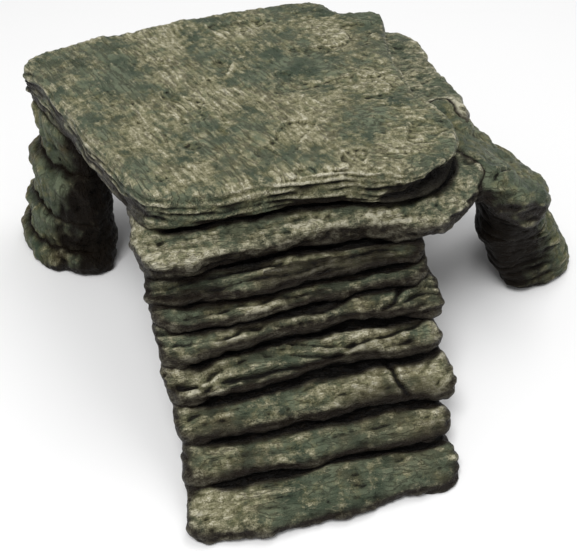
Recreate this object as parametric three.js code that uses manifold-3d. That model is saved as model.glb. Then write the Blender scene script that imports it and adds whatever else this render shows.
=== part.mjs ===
// Resin cave ornament for a terrarium or aquarium: a shale-like basking deck carried by two boulder
// piers, with a ramp of overlapping ledges up to it and an open cave underneath.
//
// Millimetres, +Z up. While it is being laid out, x = 0 is near the ramp's centre line, y = 0 is the
// deck's front edge and z = 0 is the ground. At the end the whole ornament is moved sideways, so that
// the exported origin is on the ground at the centre of its footprint.
import * as THREE from 'three';
import { mergeVertices } from 'three/addons/utils/BufferGeometryUtils.js';
import Module from 'manifold-3d';

const wasm = await Module();
wasm.setup();

// ---- Driving dimensions ---------------------------------------------------------------------

const DECK_TOP = 78; // ground to the basking surface
const DECK_THICKNESS = 14;
const SECOND_SLAB_THICKNESS = 13;
const JOINT = 0.3; // gap between neighbouring stones

const LEDGE_DEPTH = 37; // front lip to hidden back edge of one ramp ledge
const LEDGE_RIM = 0.27; // radius of a ledge's rims, as a share of its thickness
const FLANK_DEPTH = 17; // how far back a ledge keeps its full width
const LEDGE_CORNER = 4; // size of the rounding where a lip turns into a flank
const TREAD_RUN = 12; // how far behind its lip a tread starts to fall
const TREAD_FALL = 0.42; // how much lower it is at the lip, as a share of the ledge's thickness

const SHOULDER_THICKNESS = 15;
const SHOULDER_SLOPE = THREE.MathUtils.degToRad(29); // the shoulder stone falls towards the right

const OUTLINE_STEP = 6.5; // spacing of the points along an outline
const RIM_SEGMENTS = 2;
const GROUND_CUT = 0.6; // share of the lower rim that a stone on the ground has lost to its flat base

// The block that planes off a tread is wider and longer than any bed.
const PLANE_WIDTH = 400;
const PLANE_LENGTH = 120;
const PLANE_DEPTH = 30;

const DECK_BOTTOM = DECK_TOP - DECK_THICKNESS;
const SECOND_SLAB_BOTTOM = DECK_BOTTOM - SECOND_SLAB_THICKNESS;

// ---- Colours of the painted resin ----------------------------------------------------------

const GREEN_GREY = 0x75775f;
const DARK_GREEN = 0x585b47;
const BROWN = 0x4a4234;
const DARK_BROWN = 0x2e2a20;

// ---- Stone making ---------------------------------------------------------------------------

/** A smooth closed shape through a few [x, y] points. */
function smoothShape(points) {
  const corners = points.map(([x, y]) => new THREE.Vector3(x, y, 0));
  const curve = new THREE.CatmullRomCurve3(corners, true, 'centripetal');
  const count = Math.round(curve.getLength() / OUTLINE_STEP);
  const outline = curve.getSpacedPoints(count).slice(0, count);
  return new THREE.Shape(outline.map((point) => new THREE.Vector2(point.x, point.y)));
}

/**
 * One bed of stone standing on z = 0: an outline with its upper and lower rims rounded over.
 * sunk flattens its lowest stretch onto z = 0, and lean moves it sideways per mm of height.
 * grow makes a slightly larger copy, for cutting.
 */
function bedGeometry({ outline, thickness, rim, sunk = 0, lean = 0 }, grow = 0) {
  const geometry = new THREE.ExtrudeGeometry(smoothShape(outline), {
    depth: thickness + sunk - 2 * rim,
    bevelThickness: rim + grow,
    bevelSize: rim,
    bevelOffset: grow - rim,
    bevelSegments: RIM_SEGMENTS,
  });
  geometry.translate(0, 0, rim - sunk);
  if (sunk > 0) flattenBelowGround(geometry);
  const shear = new THREE.Matrix4().makeShear(0, 0, 0, 0, lean, 0);
  return geometry.applyMatrix4(shear);
}

function flattenBelowGround(geometry) {
  const points = geometry.attributes.position;
  for (let i = 0; i < points.count; i += 1) {
    points.setZ(i, Math.max(points.getZ(i), 0));
  }
}

/** A named stone between two levels, half a joint short of each level that touches another stone. */
function stone(name, colour, { bottom, top, ...bed }) {
  const lower = bottom > 0 ? bottom + JOINT / 2 : 0;
  const upper = top < DECK_TOP ? top - JOINT / 2 : DECK_TOP;
  const sunk = bottom > 0 ? 0 : bed.rim * GROUND_CUT;
  const shape = { ...bed, thickness: upper - lower, sunk };
  const material = new THREE.MeshStandardMaterial({ color: colour, roughness: 0.55, metalness: 0 });
  const mesh = new THREE.Mesh(bedGeometry(shape), material);
  mesh.name = name;
  mesh.position.z = lower;
  mesh.userData.shape = shape;
  return mesh;
}

/** A geometry as a solid that can be joined and cut. */
function solidOf(geometry) {
  const bare = geometry.clone();
  bare.deleteAttribute('normal');
  bare.deleteAttribute('uv');
  const merged = mergeVertices(bare, 1e-3);
  return new wasm.Manifold(new wasm.Mesh({
    numProp: 3,
    vertProperties: Float32Array.from(merged.attributes.position.array),
    triVerts: Uint32Array.from(merged.index.array),
  }));
}

/** Takes a tool, given in the mesh's own frame, away from the mesh. */
function cut(mesh, tool) {
  const remains = solidOf(mesh.geometry).subtract(solidOf(tool)).getMesh();
  const geometry = new THREE.BufferGeometry();
  geometry.setAttribute('position', new THREE.BufferAttribute(remains.vertProperties, remains.numProp));
  geometry.setIndex(new THREE.BufferAttribute(remains.triVerts, 1));
  geometry.computeVertexNormals();
  mesh.geometry = geometry;
}

/** Cuts a seat in one stone for a neighbour that is let into it, with a joint all round. */
function cutSeat(target, neighbour) {
  target.updateWorldMatrix(true, false);
  neighbour.updateWorldMatrix(true, false);
  const toTarget = target.matrixWorld.clone().invert().multiply(neighbour.matrixWorld);
  cut(target, bedGeometry(neighbour.userData.shape, JOINT).applyMatrix4(toTarget));
}

/** Planes off the front of a bed, so that its tread falls by fall over the last run mm to its lip. */
function slopeTread(mesh, { lip, run, fall }) {
  const { thickness } = mesh.userData.shape;
  const angle = Math.atan2(fall, run);
  const plane = new THREE.BoxGeometry(PLANE_WIDTH, PLANE_LENGTH, PLANE_DEPTH);
  plane.translate(0, 0, PLANE_DEPTH / 2);
  plane.rotateX(angle);
  plane.translate(0, lip + run / 2, thickness - fall / 2);
  cut(mesh, plane);
}

function groupOf(...children) {
  const group = new THREE.Group();
  group.add(...children);
  return group;
}

// ---- Deck: the basking slab, the slab under it and the shoulder stone ------------------------

function makeDeckSlab() {
  return stone('deck_slab', GREEN_GREY, {
    bottom: DECK_BOTTOM,
    top: DECK_TOP,
    rim: 2.8,
    outline: [
      [-50, 8], [-45, 1], [-20, -1], [12, 0], [38, -7], [52, -5], [63, 5], [67, 20], [62, 45],
      [62, 72], [67, 94], [71, 107], [67, 114], [53, 114], [49, 124], [30, 127], [0, 126],
      [-34, 120], [-66, 112], [-81, 104], [-77, 88], [-66, 56], [-57, 26],
    ],
  });
}

function makeSecondSlab() {
  const slab = stone('second_slab', DARK_GREEN, {
    bottom: SECOND_SLAB_BOTTOM,
    top: DECK_BOTTOM,
    rim: 3.2,
    outline: [
      [-54, 6], [-53, -5], [-47, -10], [-22, -10], [8, -7], [30, -9], [46, -13], [57, -10],
      [66, -4], [73, 5], [78, 18], [82, 36], [88, 56], [86, 80], [87, 103], [81, 118], [62, 119],
      [30, 118], [0, 117], [-36, 109], [-52, 100], [-52, 70], [-49, 45], [-51, 24],
    ],
  });
  slopeTread(slab, { lip: -10, run: 15, fall: 5 });
  return slab;
}

function makeShoulderStone() {
  const shoulder = stone('shoulder_stone', DARK_GREEN, {
    bottom: DECK_BOTTOM - SHOULDER_THICKNESS,
    top: DECK_BOTTOM,
    rim: 3,
    outline: [
      [0, 18], [5, 7], [14, 0], [26, -2], [34, 1], [36, 8], [32, 18], [24, 31], [17, 45],
      [8, 57], [-1, 49], [-3, 31],
    ],
  });
  shoulder.position.set(66, -1, 53.8);
  shoulder.rotation.y = SHOULDER_SLOPE;
  return shoulder;
}

// ---- Ramp: seven ledges from the foot up to the second slab ----------------------------------

// Each ledge's top level, its left and right ends, and where its lip is at the left, middle and right.
const LEDGES = [
  { name: 'ramp_foot', top: 7, left: -53, right: 40.5, lip: [-78, -81, -79] },
  { name: 'ramp_ledge_1', top: 14, left: -50, right: 41, lip: [-62, -64, -66] },
  { name: 'ramp_ledge_2', top: 22, left: -50.5, right: 47, lip: [-51, -52, -54] },
  { name: 'ramp_ledge_3', top: 31, left: -52, right: 46, lip: [-40, -39, -41] },
  { name: 'ramp_ledge_4', top: 40, left: -51, right: 50, lip: [-31, -28, -31] },
  { name: 'ramp_ledge_5', top: 45, left: -50.5, right: 47, lip: [-22, -24, -20] },
  { name: 'ramp_ledge_6', top: SECOND_SLAB_BOTTOM, left: -52, right: 47, lip: [-16, -19, -17] },
];

/** A ledge's outline: a wavy lip, two short flanks and a back edge hidden under the ledge above. */
function ledgeOutline({ left, right, lip: [lipLeft, lipMiddle, lipRight] }) {
  const middle = (left + right) / 2;
  const quarter = (right - left) / 4;
  return [
    [left, lipLeft + LEDGE_CORNER],
    [left + LEDGE_CORNER, lipLeft],
    [middle - quarter, (lipLeft + lipMiddle) / 2 - 1],
    [middle, lipMiddle],
    [middle + quarter, (lipMiddle + lipRight) / 2 + 1],
    [right - LEDGE_CORNER, lipRight],
    [right, lipRight + LEDGE_CORNER],
    [right - 1, lipRight + FLANK_DEPTH],
    [right - 12, lipMiddle + LEDGE_DEPTH],
    [left + 14, lipMiddle + LEDGE_DEPTH],
    [left + 2, lipLeft + FLANK_DEPTH],
  ];
}

function makeRamp() {
  let bottom = 0;
  const ledges = LEDGES.map((ledge) => {
    const { name, top, lip } = ledge;
    const thickness = top - bottom;
    const rim = thickness * LEDGE_RIM;
    const mesh = stone(name, GREEN_GREY, { bottom, top, rim, outline: ledgeOutline(ledge) });
    slopeTread(mesh, { lip: (lip[0] + lip[2]) / 2, run: TREAD_RUN, fall: thickness * TREAD_FALL });
    bottom = top;
    return mesh;
  });
  return groupOf(...ledges);
}

// ---- Piers ------------------------------------------------------------------------------------

/** Four stacked boulders, each standing a little further out than the one above it. */
function makeLeftPier() {
  return groupOf(
    stone('left_pier_foot', BROWN, {
      bottom: 0,
      top: 9,
      rim: 2.2,
      outline: [
        [-96, 90], [-93, 78], [-87, 67], [-79, 64], [-72, 58], [-62, 58], [-58, 65], [-59, 90],
        [-63, 108], [-78, 113], [-92, 106],
      ],
    }),
    stone('left_pier_lower', BROWN, {
      bottom: 9,
      top: 24,
      rim: 2.6,
      outline: [
        [-91, 92], [-87, 76], [-78, 66], [-65, 61], [-58, 68], [-59, 92], [-63, 106], [-76, 111],
        [-88, 104],
      ],
    }),
    stone('left_pier_middle', DARK_BROWN, {
      bottom: 24,
      top: 45,
      rim: 2.8,
      outline: [
        [-86, 92], [-82, 76], [-75, 66], [-64, 62], [-56, 69], [-56, 90], [-61, 104], [-73, 109],
        [-83, 103],
      ],
    }),
    stone('left_pier_cap', DARK_BROWN, {
      bottom: 45,
      top: DECK_BOTTOM,
      rim: 2.6,
      outline: [
        [-80, 91], [-76, 77], [-69, 67], [-62, 64], [-57, 72], [-57, 90], [-60, 102], [-70, 106],
        [-78, 101],
      ],
    }),
  );
}

/** Two blocks that lean outwards and carry the shoulder stone. */
function makeRightPier() {
  return groupOf(
    stone('right_pier_foot', BROWN, {
      bottom: 0,
      top: 30,
      rim: 3.2,
      lean: -0.5,
      outline: [
        [95, 12], [97, 4], [108, 4], [120, 6], [127, 11], [130, 20], [128, 38], [122, 47],
        [113, 48], [106, 40], [100, 26],
      ],
    }),
    stone('right_pier_upper', DARK_BROWN, {
      bottom: 30,
      top: 50,
      rim: 2.4,
      lean: -0.2,
      outline: [
        [83, 12], [85, 4], [93, 2], [104, 5], [108, 12], [107, 26], [103, 40], [97, 45],
        [91, 38], [86, 25],
      ],
    }),
  );
}

// ---- Assembly ---------------------------------------------------------------------------------

const secondSlab = makeSecondSlab();
const shoulder = makeShoulderStone();
const rightPier = makeRightPier();
const ornament = groupOf(makeDeckSlab(), secondSlab, shoulder, makeRamp(), makeLeftPier(), rightPier);

cutSeat(secondSlab, shoulder);
cutSeat(rightPier.getObjectByName('right_pier_upper'), shoulder);

// The origin goes on the ground, at the centre of the footprint.
const footprint = new THREE.Box3().setFromObject(ornament).getCenter(new THREE.Vector3());
ornament.position.set(-footprint.x, -footprint.y, 0);

const root = groupOf(ornament);
export default root;
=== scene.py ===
"""Resin cave ornament, dressed for rendering: each stone of the CAD frame is sculpted and painted."""
import math

import bpy
import numpy as np
from mathutils import Matrix, Vector
from mathutils.bvhtree import BVHTree


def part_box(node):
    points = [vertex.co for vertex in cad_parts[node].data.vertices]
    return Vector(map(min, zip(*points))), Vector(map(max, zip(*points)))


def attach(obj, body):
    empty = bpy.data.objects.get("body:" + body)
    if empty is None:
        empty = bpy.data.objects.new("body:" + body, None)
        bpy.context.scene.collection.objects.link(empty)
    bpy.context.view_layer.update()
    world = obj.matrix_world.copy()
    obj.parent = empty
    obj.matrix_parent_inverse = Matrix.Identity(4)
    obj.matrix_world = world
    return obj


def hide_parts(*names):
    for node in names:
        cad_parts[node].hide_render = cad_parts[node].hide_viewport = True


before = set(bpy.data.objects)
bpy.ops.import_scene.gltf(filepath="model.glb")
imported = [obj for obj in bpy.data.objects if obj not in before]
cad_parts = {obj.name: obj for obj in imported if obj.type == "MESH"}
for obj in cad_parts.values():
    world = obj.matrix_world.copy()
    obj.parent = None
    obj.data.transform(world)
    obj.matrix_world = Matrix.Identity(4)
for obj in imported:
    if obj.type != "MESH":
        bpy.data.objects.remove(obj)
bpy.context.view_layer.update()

MM = 0.001
SEED = 20

# ---- Camera, light and floor ------------------------------------------------------------------

VIEW_AZIMUTH = math.radians(15)  # the camera stands in front of the ramp, a little to its left
VIEW_ELEVATION = math.radians(42)
VIEW_TARGET = Vector((-0.01674, -0.02307, 0.035))
VIEW_DISTANCE = 0.326
LENS = 56.15

SKY_STRENGTH = 0.46
SOFTBOXES = [  # name, place, size, power
    ("key", (-0.25, -0.3, 0.95), 0.45, 6.1),
    ("top", (0.3, 0.3, 0.9), 0.5, 2.6),
]
FLOOR_SIZE = 8.0
FLOOR_DROP = 0.0002  # the floor lies this far under the stones, so that no two faces coincide


def add_camera():
    data = bpy.data.cameras.new("camera")
    data.lens = LENS
    data.sensor_width = 36.0
    data.clip_start = 0.01
    data.clip_end = 20.0
    camera = bpy.data.objects.new("camera", data)
    bpy.context.scene.collection.objects.link(camera)
    back = Vector((
        -math.sin(VIEW_AZIMUTH) * math.cos(VIEW_ELEVATION),
        -math.cos(VIEW_AZIMUTH) * math.cos(VIEW_ELEVATION),
        math.sin(VIEW_ELEVATION),
    ))
    right = Vector((math.cos(VIEW_AZIMUTH), -math.sin(VIEW_AZIMUTH), 0))
    up = back.cross(right)
    turn = Matrix((right, up, back)).transposed()
    camera.matrix_world = Matrix.Translation(VIEW_TARGET + back * VIEW_DISTANCE) @ turn.to_4x4()
    bpy.context.scene.camera = camera


def add_softbox(name, place, size, power):
    data = bpy.data.lights.new(name, "AREA")
    data.shape = "SQUARE"
    data.size = size
    data.energy = power
    lamp = bpy.data.objects.new(name, data)
    lamp.location = place
    lamp.rotation_euler = (Vector(place) - VIEW_TARGET).to_track_quat("Z", "Y").to_euler()
    bpy.context.scene.collection.objects.link(lamp)


def add_studio():
    scene = bpy.context.scene
    scene.view_settings.view_transform = "Standard"
    world = bpy.data.worlds.new("studio")
    world.use_nodes = True
    world.node_tree.nodes["Background"].inputs["Color"].default_value = (1.0, 1.0, 1.0, 1.0)
    world.node_tree.nodes["Background"].inputs["Strength"].default_value = SKY_STRENGTH
    scene.world = world
    for softbox in SOFTBOXES:
        add_softbox(*softbox)


def add_floor():
    bpy.ops.mesh.primitive_plane_add(size=FLOOR_SIZE, location=(0, 0, -FLOOR_DROP))
    floor = bpy.context.object
    floor.name = "floor"
    paper = bpy.data.materials.new("floor_paper")
    paper.use_nodes = True
    shader = paper.node_tree.nodes["Principled BSDF"]
    shader.inputs["Base Color"].default_value = (0.9, 0.9, 0.9, 1.0)
    shader.inputs["Roughness"].default_value = 0.9
    floor.data.materials.append(paper)


# ---- Noise ------------------------------------------------------------------------------------

_rng = np.random.default_rng(SEED)
_LATTICE = np.concatenate([_rng.permutation(256)] * 2)
_GRADIENTS = _rng.normal(size=(256, 3))
_GRADIENTS /= np.linalg.norm(_GRADIENTS, axis=1, keepdims=True)


def noise(points, cell, shift=0.0):
    """Smooth noise, about -1 to 1. cell is the size of one feature; shift picks another pattern."""
    p = points / np.asarray(cell, float) + 37.7 * np.reshape(shift, (-1, 1)) + 0.37
    corner = np.floor(p).astype(int)
    inside = p - corner
    ease = inside ** 3 * (inside * (inside * 6 - 15) + 10)
    total = np.zeros(len(p))
    for step in np.ndindex(2, 2, 2):
        x, y, z = ((corner[:, axis] + step[axis]) & 255 for axis in range(3))
        gradient = _GRADIENTS[_LATTICE[_LATTICE[_LATTICE[x] + y] + z]]
        weight = np.ones(len(p))
        for axis in range(3):
            weight *= ease[:, axis] if step[axis] else 1 - ease[:, axis]
        total += weight * ((inside - step) * gradient).sum(axis=1)
    return total * 1.7


def ramp(values, low, high):
    """0 at low, 1 at high, eased between and level beyond."""
    t = np.clip((values - low) / (high - low), 0, 1)
    return t * t * (3 - 2 * t)


def turned(points, degrees):
    """The points' coordinates along axes that are turned about Z."""
    c, s = math.cos(math.radians(degrees)), math.sin(math.radians(degrees))
    return points @ np.array([[c, -s, 0], [s, c, 0], [0, 0, 1]])


# ---- Mesh reading and writing -----------------------------------------------------------------

def read_points(mesh):
    flat = np.empty(len(mesh.vertices) * 3)
    mesh.vertices.foreach_get("co", flat)
    return flat.reshape(-1, 3)


def write_points(mesh, points):
    mesh.vertices.foreach_set("co", points.ravel())
    mesh.update()


def read_normals(mesh):
    flat = np.empty(len(mesh.vertices) * 3)
    mesh.vertex_normals.foreach_get("vector", flat)
    return flat.reshape(-1, 3)


def read_edges(mesh):
    flat = np.empty(len(mesh.edges) * 2, int)
    mesh.edges.foreach_get("vertices", flat)
    return flat.reshape(-1, 2)


def smoothed(values, edges, rounds):
    """Each vertex's values averaged with its neighbours', so many times."""
    count = len(values)
    ends = np.concatenate([edges[:, 0], edges[:, 1]])
    others = np.concatenate([edges[:, 1], edges[:, 0]])
    degree = np.maximum(np.bincount(ends, minlength=count), 1)
    out = np.array(values, float).reshape(count, -1)
    for _ in range(rounds):
        mean = np.stack([
            np.bincount(ends, weights=column[others], minlength=count) for column in out.T
        ], axis=1) / degree[:, None]
        out = 0.5 * out + 0.5 * mean
    return out.reshape(np.shape(values))


def write_attribute(mesh, name, values):
    attribute = mesh.attributes.new(name, "FLOAT", "POINT")
    attribute.data.foreach_set("value", np.asarray(values, np.float32))


def remeshed_copy(node, voxel, easing):
    """A new object with the CAD node's shape, as an even net of small faces with its rims eased."""
    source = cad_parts[node]
    rough = bpy.data.objects.new(node + "_rough", source.data.copy())
    bpy.context.scene.collection.objects.link(rough)
    remesh = rough.modifiers.new("net", "REMESH")
    remesh.mode = "VOXEL"
    remesh.voxel_size = voxel
    bpy.context.view_layer.update()
    evaluated = rough.evaluated_get(bpy.context.evaluated_depsgraph_get())
    mesh = bpy.data.meshes.new_from_object(evaluated)
    bpy.data.objects.remove(rough)
    points = read_points(mesh)
    write_points(mesh, smoothed(points, read_edges(mesh), easing))
    stone = bpy.data.objects.new(node + "_stone", mesh)
    bpy.context.scene.collection.objects.link(stone)
    return stone


# ---- Sculpting --------------------------------------------------------------------------------

BARK_TURNS = (19, 72)  # how the deck's ridges are turned about Z, in degrees, on its left and right


def wood_grain(points):
    """Fine ridges along the ramp's ledges, from side to side."""
    ridges = noise(points, (7 * MM, 1.7 * MM, 2 * MM), 31)
    return ridges + 0.7 * noise(points, (2.6 * MM, 1.3 * MM, 1.3 * MM), 34)


def bark_grain(points):
    """Ridges of the deck's top: long and slanting on the left, short and crossing them on the right."""
    bent = points + 2.5 * MM * noise(points, 20 * MM, 30)[:, None]
    long_ridges = noise(turned(bent, BARK_TURNS[0]), (1.5 * MM, 9 * MM, 4 * MM), 31)
    short_ridges = noise(turned(bent, BARK_TURNS[1]), (1.7 * MM, 3.5 * MM, 4 * MM), 32)
    share = bark_share(points)
    crust = noise(points, 1.3 * MM, 35)
    return long_ridges * (1 - share) + short_ridges * share + 0.5 * crust


def bark_share(points):
    """0 where the deck's ridges are the long ones of its left, 1 where they are those of its right."""
    return ramp(points[:, 0] + 12 * MM * noise(points, 25 * MM, 33), -12 * MM, 22 * MM)


class Style:
    """How one stone is worked. Lengths in metres."""

    def __init__(self, **changes):
        self.voxel = 0.7 * MM
        self.easing = 50                 # rounds of smoothing that the rims get
        self.sway = 1.6 * MM             # slow wandering of the outline
        self.dip = (0, 0.33, 0.94)       # across the bedding; the ramp's beds sink towards the back
        self.side_bed = 3.0 * MM         # thickness of the beds that the side faces show
        self.side_depth = 0.8 * MM       # how far those beds stand out and are cut in
        self.top_bed = 2.6 * MM          # and of those that the upper faces show
        self.top_depth = 1.1 * MM
        self.joint_depth = 1.9 * MM      # how far a groove between two stones is cut in
        self.joint_reach = 8.0 * MM      # and how far its dark joint colour and painted shade reach from the other stone
        self.joint_filled = 0.0          # how much of its joints has run together in the casting
        self.swell = 0.7 * MM            # makes up for what the easing took off
        self.lumps = 0.75 * MM           # height of the lumps that cover the stone
        self.lump_cell = (7 * MM, 7 * MM, 7 * MM)
        self.pits = 0.2 * MM             # height of its finest roughness
        self.grain = 0.25 * MM           # ridges along the upper faces
        self.grain_field = wood_grain
        self.spray = (0, -0.1, 1)        # the way the green paint was sprayed from; faces turned away keep the dark base, partly as painted shade
        self.spray_blur = 150            # rounds of smoothing: how far round a rim the paint fades
        self.paint = "ledge"
        for name, value in changes.items():
            setattr(self, name, value)


LEDGE = Style()
STYLES = {
    "deck_slab": Style(
        voxel=0.64 * MM, easing=4, sway=0.9 * MM, dip=(0, 0, 1), side_bed=2.4 * MM, side_depth=1.1 * MM,
        top_depth=0.0, joint_depth=0.8 * MM, joint_reach=3.4 * MM, swell=0.0,
        lumps=0.25 * MM, pits=0.15 * MM, grain=0.5 * MM, grain_field=bark_grain,
        spray=(0.5, -0.4, 0.75), spray_blur=30, paint="deck",
    ),
    "second_slab": Style(
        easing=30, side_bed=3.4 * MM, top_depth=0.35 * MM, swell=0.5 * MM, pits=0.3 * MM, paint="lip",
    ),
    "shoulder_stone": Style(
        easing=10, side_bed=3.6 * MM, top_depth=0.3 * MM, joint_filled=0.8, swell=0.0,
        lumps=0.8 * MM, pits=0.4 * MM, grain=0.0, spray_blur=30, paint="arm",
    ),
    "ramp_foot": Style(top_depth=0.6 * MM, grain=0.12 * MM),
    "ramp_ledge_1": Style(top_depth=0.6 * MM, grain=0.12 * MM),
    "ramp_ledge_2": Style(top_depth=0.7 * MM, grain=0.12 * MM),
    "ramp_ledge_3": Style(top_depth=1.3 * MM, spray_blur=100),
    "ramp_ledge_4": Style(top_depth=1.3 * MM, spray_blur=80),
    "ramp_ledge_5": Style(
        easing=10, top_depth=0.8 * MM, joint_depth=0.7 * MM, joint_reach=4.5 * MM, spray_blur=50,
    ),
    "ramp_ledge_6": Style(spray_blur=70),
    "left_pier": Style(
        voxel=0.8 * MM, easing=8, sway=1.2 * MM, dip=(0, 0, 1), side_bed=6 * MM, side_depth=0.4 * MM,
        top_depth=0.3 * MM, lumps=1.1 * MM, lump_cell=(5 * MM, 5 * MM, 11 * MM), pits=0.4 * MM,
        joint_filled=0.7, swell=0.0, spray=(-1.0, 0.1, 0.2), spray_blur=30, paint="left_pier",
    ),
    "right_pier": Style(
        easing=8, sway=0.9 * MM, dip=(0, 0, 1), side_bed=3.6 * MM, side_depth=0.9 * MM,
        top_depth=0.4 * MM, lumps=0.5 * MM, joint_filled=0.8, swell=0.0, spray=(0.95, -0.2, 0.3),
        spray_blur=30, paint="right_pier",
    ),
}

# Cracks that run across an upper face: the stone, and the crack's course as shares of its box.
CRACKS = [
    ("ramp_ledge_2", [(0.76, 0.43), (0.78, 0.28), (0.78, 0.19), (0.81, 0.03)]),
    ("ramp_ledge_3", [(0.05, 0.12), (0.14, 0.05), (0.22, 0.09), (0.41, 0.09), (0.58, 0.09), (0.67, 0.16)]),
    ("ramp_ledge_4", [(0.70, -0.05), (0.75, 0.06), (0.81, 0.12), (0.84, 0.21)]),
    ("second_slab", [(0.89, 0.30), (0.91, 0.26), (0.93, 0.21)]),
    ("shoulder_stone", [(0.26, 0.07), (0.42, 0.14), (0.60, 0.22)]),
]
CRACK_WIDTH = 0.9 * MM
CRACK_DEPTH = 1.8 * MM

# Hollows in a side face, here under the deck's front corner, also painted dark as painted shade: the stone,
# the centre as shares of its box, then radius and depth in mm.
HOLLOWS = [
    ("deck_slab", 0.78, 0.02, 0.13, 6, 3.0), ("deck_slab", 0.83, 0.02, 0.18, 7, 5.0),
    ("deck_slab", 0.88, 0.01, 0.24, 8, 6.0), ("deck_slab", 0.93, 0.03, 0.24, 8, 6.0),
    ("deck_slab", 0.97, 0.09, 0.24, 7, 4.0), ("deck_slab", 0.99, 0.15, 0.24, 6, 2.0),
]

# Where the casting has run together and has no groove between its stones: along the ramp's left
# side, on the arm that goes down to the right pier, and partly at the ramp's right ends. Each is
# the x, in mm, from which it starts and is complete, then how complete, and which stones it is on.
RUN_TOGETHER = [
    (-54, -63, 1.0, ""),
    (50, 58, 1.0, ""),
    (16, 27, 0.6, "ramp_"),
]
FILLING = 1.7 * MM        # how far the filled joints are pushed out
JOINT_FACE = 0.6 * MM     # nearer to the other stone than this, a face is all joint
GROOVE_SHARE = 0.4        # how far a groove is cut, as a share of the reach of its dark joint colour and painted shade


def place_on(node, *shares):
    """The place at these shares of the node's box, from its low corner to its high one."""
    low, high = (np.array(corner)[:len(shares)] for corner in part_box(node))
    return low + (high - low) * shares


def style_of(node):
    for start, style in STYLES.items():
        if node.startswith(start):
            return style
    return LEDGE


def shale(points, dip, thickness, pattern):
    """The push of thin beds stacked along dip, -1 to 1: each has a lip of its own over a fading crack."""
    across = points @ np.asarray(dip)
    across = across + 2.2 * MM * noise(points, 25 * MM, pattern)
    across = across + 1.0 * MM * noise(points, 9 * MM, pattern + 1)
    level = across / thickness + 0.7 * noise(points, (60 * MM, 60 * MM, 2.6 * thickness), pattern + 2)
    bed = np.floor(level)
    part = level - bed
    own = noise(points, (15 * MM, 15 * MM, 40 * MM), pattern + 3 + 0.618 * bed)
    cracked = ramp(noise(points, 12 * MM, pattern + 4 + 0.618 * bed), -0.45, 0.2)
    lip = ramp(part, 0.08, 0.5) - ramp(part, 0.82, 1.0)
    return 0.9 * own * lip + (lip - 0.8) * cracked


def crack_push(node, points):
    """How far the listed cracks cut into a stone, 0 to 1."""
    cut = np.zeros(len(points))
    flat = points[:, :2] + 0.6 * MM * noise(points, 4 * MM, 50)[:, None]
    for name, course in CRACKS:
        if name == node:
            for start, end in zip(course, course[1:]):
                a, b = place_on(node, *start), place_on(node, *end)
                along = np.clip(((flat - a) @ (b - a)) / ((b - a) @ (b - a)), 0, 1)
                away = np.linalg.norm(flat - a - along[:, None] * (b - a), axis=1)
                cut = np.maximum(cut, np.exp(-(away / CRACK_WIDTH) ** 2))
    return cut


def hollow_push(node, points):
    """How far the hollows cut into a stone, in metres."""
    cut = np.zeros(len(points))
    for name, *shares, radius, depth in HOLLOWS:
        if name == node:
            away = np.linalg.norm(points - place_on(node, *shares), axis=1) / (radius * MM)
            cut = np.maximum(cut, depth * MM * np.exp(-away ** 4))
    return cut


def run_together(node, points):
    """How far a joint is filled at each point, 0 to 1."""
    filled = np.zeros(len(points))
    for start, end, amount, stones in RUN_TOGETHER:
        if node.startswith(stones):
            filled = np.maximum(filled, amount * ramp(points[:, 0], start * MM, end * MM))
    return filled


def nearest_stone(node, points, reach):
    """How far the nearest other stone of the frame is, at most reach, and how steeply below, -1 to 1."""
    corners = []
    faces = []
    for name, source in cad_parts.items():
        if name != node:
            faces += [[index + len(corners) for index in face.vertices] for face in source.data.polygons]
            corners += [vertex.co for vertex in source.data.vertices]
    tree = BVHTree.FromPolygons(corners, faces)
    gap = np.full(len(points), reach)
    below = np.zeros(len(points))
    for i, point in enumerate(points.tolist()):
        place, _, _, distance = tree.find_nearest(point, reach)
        if place is not None:
            gap[i] = distance
            below[i] = (point[2] - place.z) / max(distance, 1e-9)
    return gap, below


def swayed(points, amount):
    """The points with the outline wandering slowly, and differently at each height."""
    cell = (17 * MM, 17 * MM, 9 * MM)
    sway = np.stack([noise(points, cell, axis) for axis in range(3)], axis=1)
    sway[:, 2] *= 0.6
    return points + sway * amount


def bedding_push(points, style, side, upper):
    """The beds that the side faces and the upper faces show."""
    sides = style.side_depth * side * shale(points, style.dip, style.side_bed, 10)
    return sides + style.top_depth * upper * shale(points, style.dip, style.top_bed, 20)


def joint_push(style, gap, filled, wander, upper):
    """Joints are cut in as grooves, or filled where the casting has run together."""
    reach = GROOVE_SHARE * style.joint_reach * wander * (1 - 0.6 * upper) + 0.2 * MM
    near_joint = 1 - ramp(gap, JOINT_FACE, reach)
    groove = style.joint_depth * (1 - filled) * near_joint * ramp(gap, 0.35 * MM, 1.2 * MM)
    return FILLING * filled * (1 - ramp(gap, 1.0 * MM, 4.5 * MM)) - groove


def roughness_push(points, style, upper):
    """Lumps, pits and, on the upper faces, the ridges of the grain."""
    lumps = noise(points, style.lump_cell, 8) + 0.5 * noise(points, 3 * MM, 9)
    pits = noise(points, 1.9 * MM, 13)
    return style.lumps * lumps + style.pits * pits + style.grain * upper * style.grain_field(points)


def joint_shade_paint(style, gap, below, filled, wander):
    """Dark joint colour and painted shade, 0 to 1: it reaches further over the stone that lies on the other.
    """
    reach = style.joint_reach * np.minimum(wander, 1.2) * (0.5 + 0.5 * ramp(below, -0.4, 0.4))
    return (1 - ramp(gap, JOINT_FACE, reach)) * (1 - 0.9 * filled)


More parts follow.
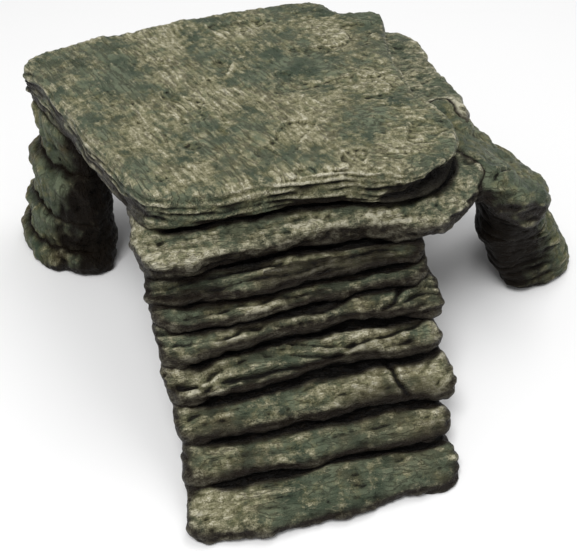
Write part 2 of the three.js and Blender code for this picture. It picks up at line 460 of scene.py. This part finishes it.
def sculpt(stone, node, style):
    """Works the stone's smooth net into weathered, thinly bedded rock."""
    mesh = stone.data
    edges = read_edges(mesh)
    points = read_points(mesh)
    ground = points[:, 2] < 0.4 * MM
    gap, below = nearest_stone(node, points, style.joint_reach)

    points = swayed(points, style.sway)
    write_points(mesh, points)
    normals = read_normals(mesh)
    side = 1 - ramp(np.abs(normals[:, 2]), 0.5, 0.9)
    upper = ramp(normals[:, 2], 0.4, 0.85)
    filled = np.maximum(style.joint_filled, run_together(node, points))
    wander = 1 + 0.8 * noise(points, (22 * MM, 13 * MM, 13 * MM), 12)
    hollow = hollow_push(node, points)

    push = style.swell + bedding_push(points, style, side, upper)
    push += joint_push(style, gap, filled, wander, upper)
    push -= CRACK_DEPTH * upper * crack_push(node, points) + side * hollow
    push += roughness_push(points, style, upper)

    # seam: dark joint colour and painted shade near the joints, and painted shade in the hollows
    seam = np.maximum(joint_shade_paint(style, gap, below, filled, wander), ramp(hollow, 0.3 * MM, 1.5 * MM))
    points = points + normals * push[:, None]
    points[ground, 2] = np.clip(points[ground, 2], 0, 0.6 * MM)
    points[:, 2] = np.maximum(points[:, 2], 0)
    write_points(mesh, smoothed(points, edges, 1))
    # aimed: how far each face turns toward the spray; faces turned away are painted dark, partly as painted
    # shade
    write_attribute(mesh, "aimed", smoothed(normals @ style.spray, edges, style.spray_blur))
    write_attribute(mesh, "seam", seam)
    write_attribute(mesh, "bark_share", bark_share(points))


# ---- Paint masks held by the mesh -------------------------------------------------------------

# Name of the mask, rounds of smoothing that make the surroundings, and the height that counts as 1.
RELIEF_MASKS = (("relief", 5, 0.3 * MM), ("relief_wide", 40, 1.1 * MM))


def mark_relief(mesh):
    """How far each point stands out of its surroundings, near and wide, -1 to 1."""
    points = read_points(mesh)
    edges = read_edges(mesh)
    normals = read_normals(mesh)
    for name, rounds, full in RELIEF_MASKS:
        rise = ((points - smoothed(points, edges, rounds)) * normals).sum(axis=1)
        write_attribute(mesh, name, np.clip(rise / full, -1, 1))


def half_sphere(count):
    """Evenly spread directions over a hemisphere around +Z, denser towards the pole."""
    turns = np.arange(count) * math.pi * (3 - math.sqrt(5))
    height = np.sqrt((np.arange(count) + 0.5) / count)
    flat = np.sqrt(1 - height ** 2)
    return np.stack([np.cos(turns) * flat, np.sin(turns) * flat, height], axis=1)


def hidden_share(tree, starts, directions, reach):
    """How much stone lies within reach of each start, 0 to 1, over directions of shape (ray, point, 3)."""
    total = np.zeros(len(starts))
    places = starts.tolist()
    for fan in directions:
        for i, out in enumerate(fan.tolist()):
            distance = tree.ray_cast(places[i], out, reach)[3]
            if distance is not None:
                total[i] += 1 - 0.7 * distance / reach
    return total / len(directions)


RAY_START = 0.25 * MM     # how far off the surface a ray starts
SHELTER_REACH = 11 * MM   # stone nearer than this shelters a point
SKY_REACH = 70 * MM       # and this far up it hides the sky


def mark_shelter(stones):
    """shelter: how deep in a groove a point lies. sky: how much of the sky above it is open."""
    all_points = []
    all_faces = []
    offset = 0
    for stone in stones:
        mesh = stone.data
        all_points.append(read_points(mesh))
        corners = np.empty(len(mesh.loops), int)
        mesh.loops.foreach_get("vertex_index", corners)
        all_faces.extend((corners.reshape(-1, 4) + offset).tolist())
        offset += len(mesh.vertices)
    tree = BVHTree.FromPolygons(np.concatenate(all_points).tolist(), all_faces)
    for stone in stones:
        mesh = stone.data
        edges = read_edges(mesh)
        normals = read_normals(mesh)
        helper = np.where(np.abs(normals[:, 2:]) < 0.9, [[0, 0, 1.0]], [[1.0, 0, 0]])
        across = np.cross(helper, normals)
        across /= np.linalg.norm(across, axis=1, keepdims=True)
        along = np.cross(normals, across)
        starts = read_points(mesh) + normals * RAY_START
        around_normal = [across * x + along * y + normals * z for x, y, z in half_sphere(10)]
        around_up = [np.tile(direction, (len(starts), 1)) for direction in half_sphere(8)]
        shelter = hidden_share(tree, starts, around_normal, SHELTER_REACH)
        sky = 1 - hidden_share(tree, starts, around_up, SKY_REACH)
        write_attribute(mesh, "shelter", smoothed(shelter, edges, 2))
        write_attribute(mesh, "sky", smoothed(sky, edges, 3))


# Patches where the pale dry-brushing is rubbed on thickest: the stone, the patch's centre as shares
# of its box, and its radius in mm.
WORN_PATCHES = [
    ("deck_slab", 0.34, 0.88, 14), ("deck_slab", 0.59, 0.83, 13), ("deck_slab", 0.41, 0.51, 17),
    ("deck_slab", 0.26, 0.37, 13), ("deck_slab", 0.62, 0.31, 14), ("deck_slab", 0.31, 0.15, 10),
    ("deck_slab", 0.82, 0.78, 12), ("deck_slab", 0.88, 0.45, 12), ("deck_slab", 0.93, 0.19, 9),
    ("deck_slab", 0.81, 0.12, 10), ("deck_slab", 0.42, 0.05, 9), ("deck_slab", 0.55, 0.05, 9),
    ("deck_slab", 0.68, 0.04, 9), ("second_slab", 0.96, 0.43, 9), ("second_slab", 0.43, 0.07, 9),
    ("second_slab", 0.61, 0.04, 8), ("second_slab", 0.16, 0.0, 8), ("ramp_ledge_4", 0.26, 0.08, 9),
    ("ramp_ledge_3", 0.73, 0.09, 10), ("ramp_ledge_3", 0.13, 0.05, 8), ("ramp_ledge_2", 0.67, 0.10, 8),
    ("ramp_ledge_2", 0.90, 0.14, 9), ("ramp_foot", 0.11, 0.27, 10),
]


def mark_wear(mesh):
    """wear: how thickly the pale dry-brushing is rubbed on, 0 to 1."""
    points = read_points(mesh)
    wear = 0.45 * noise(points, 22 * MM, 40) + 0.35 * noise(points, 8 * MM, 41)
    wear += 0.45 * noise(points, 3 * MM, 42)
    for node, across, along, radius in WORN_PATCHES:
        centre = place_on(node, across, along, 0.9)
        away = np.linalg.norm(points - centre, axis=1) / (radius * MM)
        wear = wear + 0.55 * np.exp(-away ** 2)
    write_attribute(mesh, "wear", np.clip(0.4 + wear, 0, 1))


# ---- Materials --------------------------------------------------------------------------------

def linear(red, green, blue):
    """An sRGB colour, 0 to 255, as the linear colour that a node holds."""
    def one(value):
        value /= 255
        return value / 12.92 if value <= 0.04045 else ((value + 0.055) / 1.055) ** 2.4
    return (one(red), one(green), one(blue), 1.0)


class Paint:
    """A node tree under construction: each method adds a node and returns its output socket."""

    def __init__(self, name):
        self.material = bpy.data.materials.new(name)
        self.material.use_nodes = True
        self.tree = self.material.node_tree
        self.shader = self.tree.nodes["Principled BSDF"]

    def link(self, value, socket):
        if isinstance(value, bpy.types.NodeSocket):
            self.tree.links.new(value, socket)
        else:
            socket.default_value = value

    def attribute(self, name):
        node = self.tree.nodes.new("ShaderNodeAttribute")
        node.attribute_name = name
        return node.outputs["Fac"]

    def position(self):
        return self.tree.nodes.new("ShaderNodeTexCoord").outputs["Object"]

    def stretch(self, vector, turn, scale):
        """The position, turned about Z by turn degrees, with a feature's size per axis as scale."""
        node = self.tree.nodes.new("ShaderNodeMapping")
        node.vector_type = "TEXTURE"
        self.link(vector, node.inputs["Vector"])
        node.inputs["Rotation"].default_value = (0, 0, math.radians(turn))
        node.inputs["Scale"].default_value = scale
        return node.outputs["Vector"]

    def noise(self, vector, detail=3.0, rough=0.55, distort=0.0, scale=1.0):
        node = self.tree.nodes.new("ShaderNodeTexNoise")
        self.link(vector, node.inputs["Vector"])
        node.inputs["Scale"].default_value = scale
        node.inputs["Detail"].default_value = detail
        node.inputs["Roughness"].default_value = rough
        node.inputs["Distortion"].default_value = distort
        return node.outputs["Fac"]

    def math(self, operation, a, b=0.0):
        node = self.tree.nodes.new("ShaderNodeMath")
        node.operation = operation
        self.link(a, node.inputs[0])
        self.link(b, node.inputs[1])
        return node.outputs[0]

    def sum(self, *weighted):
        """The sum of (value, weight) pairs."""
        total = 0.0
        for value, weight in weighted:
            node = self.tree.nodes.new("ShaderNodeMath")
            node.operation = "MULTIPLY_ADD"
            self.link(value, node.inputs[0])
            self.link(weight, node.inputs[1])
            self.link(total, node.inputs[2])
            total = node.outputs[0]
        return total

    def step(self, value, low, high, to_low=0.0, to_high=1.0):
        node = self.tree.nodes.new("ShaderNodeMapRange")
        node.interpolation_type = "SMOOTHSTEP"
        self.link(value, node.inputs["Value"])
        for name, number in (("From Min", low), ("From Max", high), ("To Min", to_low), ("To Max", to_high)):
            node.inputs[name].default_value = number
        return node.outputs["Result"]

    def mix(self, share, a, b):
        node = self.tree.nodes.new("ShaderNodeMix")
        node.data_type = "RGBA"
        self.link(share, node.inputs["Factor"])
        self.link(a, node.inputs[6])
        self.link(b, node.inputs[7])
        return node.outputs[2]

    def blend(self, share, a, b):
        node = self.tree.nodes.new("ShaderNodeMix")
        self.link(share, node.inputs[0])
        self.link(a, node.inputs[2])
        self.link(b, node.inputs[3])
        return node.outputs[0]

    def bump(self, height, depth):
        node = self.tree.nodes.new("ShaderNodeBump")
        node.inputs["Distance"].default_value = depth
        self.link(height, node.inputs["Height"])
        return node.outputs["Normal"]


# black of the dark wash in dips and of the painted shade deep in grooves
WASH_AND_SHADE_BLACK = linear(6, 4, 2)
SHADED_BROWN = linear(27, 20, 12)
PIER_BROWN = linear(20, 15, 9)
BROWN_WASH = linear(94, 80, 54)
DEEP_GREEN = linear(60, 71, 56)
GREY_GREEN = linear(106, 114, 92)
OLIVE = linear(116, 112, 76)
TAN = linear(175, 169, 139)
# cream of the dry-brushing, also used for painted glints of the lacquer
CREAM_AND_GLINT = linear(231, 227, 205)
BUMP_DEPTH = 0.9 * MM


class ResinPaint(Paint):
    """The masks of the mesh and the patterns that every coat of the resin's paint draws on."""

    def __init__(self, name, grains):
        super().__init__(name)
        place = self.position()
        self.relief = self.attribute("relief")
        self.wide = self.attribute("relief_wide")
        self.shelter = self.attribute("shelter")
        self.seam = self.attribute("seam")
        self.sky = self.attribute("sky")
        self.wear = self.attribute("wear")
        self.aimed = self.attribute("aimed")
        self.streaks = self.along_grain(place, grains, 1.0, detail=4.0, rough=0.65, distort=0.9)
        lines = self.along_grain(place, grains, 0.6, detail=2.5, distort=0.2)
        self.veins = self.math("ABSOLUTE", self.math("SUBTRACT", lines, 0.5))
        self.specks = self.noise(place, detail=4.0, rough=0.75, scale=900.0)
        self.flecks = self.noise(place, detail=2.0, rough=0.6, scale=2000.0)
        self.blotches = self.noise(place, detail=4.0, scale=110.0)
        self.drifts = self.noise(place, detail=3.0, scale=45.0)

    def along_grain(self, place, grains, scale, **looks):
        """Noise stretched along the grain. A second grain takes over where bark_share is 1."""
        fields = [self.noise(self.stretch(place, *grain), scale=scale, **looks) for grain in grains]
        field = fields[0]
        for other in fields[1:]:
            field = self.blend(self.attribute("bark_share"), field, other)
        return field


def sprayed_green(paint, wash):
    """The sprayed coat: two greens in blotches, olive where it is worn, and a brown wash in drifts."""
    green = paint.mix(paint.step(paint.blotches, 0.32, 0.68), DEEP_GREEN, GREY_GREEN)
    worn = paint.step(paint.sum((paint.wear, 0.6), (paint.specks, 0.8)), 0.5, 0.95, 0.0, 0.7)
    green = paint.mix(worn, green, OLIVE)
    return paint.mix(paint.step(paint.drifts, 0.48, 0.66, 0.0, wash), green, BROWN_WASH)


def dry_brushed(paint, colour, sprayed_and_lit, brush):
    """Tan, and cream on the highest ridges, on what stands out into the open air; the cream is also painted
    glints.
    """
    raised = paint.sum(
        (paint.relief, 0.34), (paint.wide, 0.25), (paint.streaks, 1.4),
        (paint.specks, 1.4), (paint.flecks, 0.8), (paint.wear, 0.7),
    )
    raised = paint.math("SUBTRACT", raised, 2.15 - brush)
    # dry-brushing reaches only what is open to the air and sprayed, which also leaves sheltered places
    # darker as painted shade
    open_air = paint.math(
        "MULTIPLY", paint.step(paint.shelter, 0.12, 0.45, 1.0, 0.0), paint.step(paint.sky, 0.15, 0.7),
    )
    open_air = paint.math("MULTIPLY", open_air, paint.sum((sprayed_and_lit, 0.85), (1.0, 0.15)))
    brushed = paint.math("MULTIPLY", paint.step(raised, -0.1, 0.75, 0.0, 0.85), open_air)
    colour = paint.mix(brushed, colour, TAN)
    # cream on the highest ridges: dry-brushing, and painted glints of the lacquer
    cream_and_glints = paint.math("MULTIPLY", paint.step(raised, 0.4, 0.9, 0.0, 0.6), open_air)
    return paint.mix(cream_and_glints, colour, CREAM_AND_GLINT)


def darkened(paint, colour, shade):
    """Brown flecks and veins; painted shade, brown near joints, black-brown deep in grooves; black-brown
    wash in dips.
    """
    dark_flecks = paint.step(paint.sum((paint.flecks, 1.0), (paint.specks, 0.6)), 0.7, 0.52, 0.0, 0.55)
    dark_veins = paint.math(
        "MULTIPLY", paint.step(paint.veins, 0.07, 0.01), paint.step(paint.blotches, 0.4, 0.6, 0.0, 0.5),
    )
    # painted shade: brown where a place is sheltered or near a joint
    enclosed = paint.sum((paint.shelter, 0.7), (paint.seam, 0.7), (paint.specks, 0.4))
    painted_shade = paint.step(enclosed, 0.3 - shade, 0.8 - shade, 0.0, 0.9)
    soiled = paint.math("MAXIMUM", dark_flecks, dark_veins)
    colour = paint.mix(paint.math("MAXIMUM", soiled, painted_shade), colour, SHADED_BROWN)

    # black-brown: dark wash in the dips, and painted shade deepest in the grooves
    dips = paint.sum((paint.relief, 0.8), (paint.wide, 0.8), (paint.specks, 1.0))
    sunk = paint.step(dips, 0.25, -0.6, 0.0, 0.9)
    deep_painted_shade = paint.step(enclosed, 0.7 - shade, 1.15 - shade)
    groove = paint.mix(paint.step(paint.streaks, 0.48, 0.68, 0.0, 0.8), WASH_AND_SHADE_BLACK, SHADED_BROWN)
    return paint.mix(paint.math("MAXIMUM", sunk, deep_painted_shade), colour, groove)


def painted_resin(
    name, grains, bare, sprayed_from, sprayed_to, brush=0.0, wash=0.5, aim=0.6, shade=0.0, shine=0.2,
):
    """Dark resin, sprayed green from above, then dry-brushed tan on what stands out, and lacquered.

    grains are the turn and the size of its streaks, bare is the colour where no spray has reached,
    which also serves as painted shade under overhangs and on the faces turned away, sprayed_from and
    sprayed_to are how open a place is where the spray starts and is complete, aim is how much it
    matters which way it faces, brush how much more dry-brushing it has, wash how brown its green
    turns, shade how much further the painted shade of its grooves darkens it, and shine how glossy
    its lacquer is.
    """
    paint = ResinPaint(name, grains)
    # green where open to the sky and facing the spray, the dark base elsewhere: the spray's reach, and
    # painted shade under overhangs and on the faces turned away
    openness = paint.sum((paint.sky, 1.0), (paint.aimed, aim), (paint.wide, 0.12), (paint.blotches, 0.3))
    sprayed_and_lit = paint.step(openness, sprayed_from + 0.15, sprayed_to + 0.15)
    colour = paint.mix(sprayed_and_lit, bare, sprayed_green(paint, wash))
    colour = dry_brushed(paint, colour, sprayed_and_lit, brush)
    colour = darkened(paint, colour, shade)

    height = paint.sum(
        (paint.streaks, 1.0), (paint.specks, 0.8), (paint.flecks, 0.3),
        (paint.step(paint.veins, 0.0, 0.07), 0.35),
    )
    paint.link(colour, paint.shader.inputs["Base Color"])
    paint.link(paint.step(paint.streaks, 0.3, 0.7, 0.55, 0.32), paint.shader.inputs["Roughness"])
    paint.link(paint.bump(height, BUMP_DEPTH), paint.shader.inputs["Normal"])
    paint.shader.inputs["Specular IOR Level"].default_value = shine
    return paint.material


MATERIALS = {
    "deck": painted_resin(
        "deck_resin",
        [(BARK_TURNS[0], (1.5 * MM, 8 * MM, 1.5 * MM)), (BARK_TURNS[1], (1.5 * MM, 3.0 * MM, 1.5 * MM))],
        SHADED_BROWN, 0.25, 0.7, brush=0.03, wash=0.15, aim=0.4, shade=-0.15,
    ),
    "lip": painted_resin(
        "lip_resin", [(-6, (3.0 * MM, 1.3 * MM, 1.2 * MM))],
        SHADED_BROWN, 1.0, 1.55, brush=0.22, wash=0.25, aim=1.0,
    ),
    "ledge": painted_resin(
        "ledge_resin", [(-6, (3.6 * MM, 1.3 * MM, 1.2 * MM))],
        SHADED_BROWN, 1.25, 1.85, brush=0.03, wash=0.4, aim=1.0, shade=0.1,
    ),
    "arm": painted_resin(
        "arm_resin", [(0, (2.2 * MM, 2.2 * MM, 1.6 * MM))],
        SHADED_BROWN, 0.4, 0.9, brush=-0.25, wash=0.1, aim=0.25,
    ),
    "left_pier": painted_resin(
        "left_pier_resin", [(0, (2.2 * MM, 2.2 * MM, 6 * MM))],
        PIER_BROWN, 0.8, 1.4, brush=-0.3, wash=0.8, aim=0.9, shine=0.08,
    ),
    "right_pier": painted_resin(
        "right_pier_resin", [(0, (4 * MM, 4 * MM, 1.5 * MM))],
        PIER_BROWN, 0.75, 1.2, brush=-0.25, wash=0.5, aim=0.8, shine=0.08,
    ),
}


# ---- Putting it together ----------------------------------------------------------------------

def build_stones():
    """Makes, sculpts and paints one stone for each node of the frame, which it then replaces."""
    stones = []
    for node in sorted(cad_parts):
        style = style_of(node)
        stone = remeshed_copy(node, style.voxel, style.easing)
        sculpt(stone, node, style)
        mark_relief(stone.data)
        mark_wear(stone.data)
        stone.data.materials.clear()
        stone.data.materials.append(MATERIALS[style.paint])
        stone.data.shade_smooth()
        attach(stone, "root")
        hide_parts(node)
        stones.append(stone)
    mark_shelter(stones)


add_camera()
add_studio()
add_floor()
build_stones()
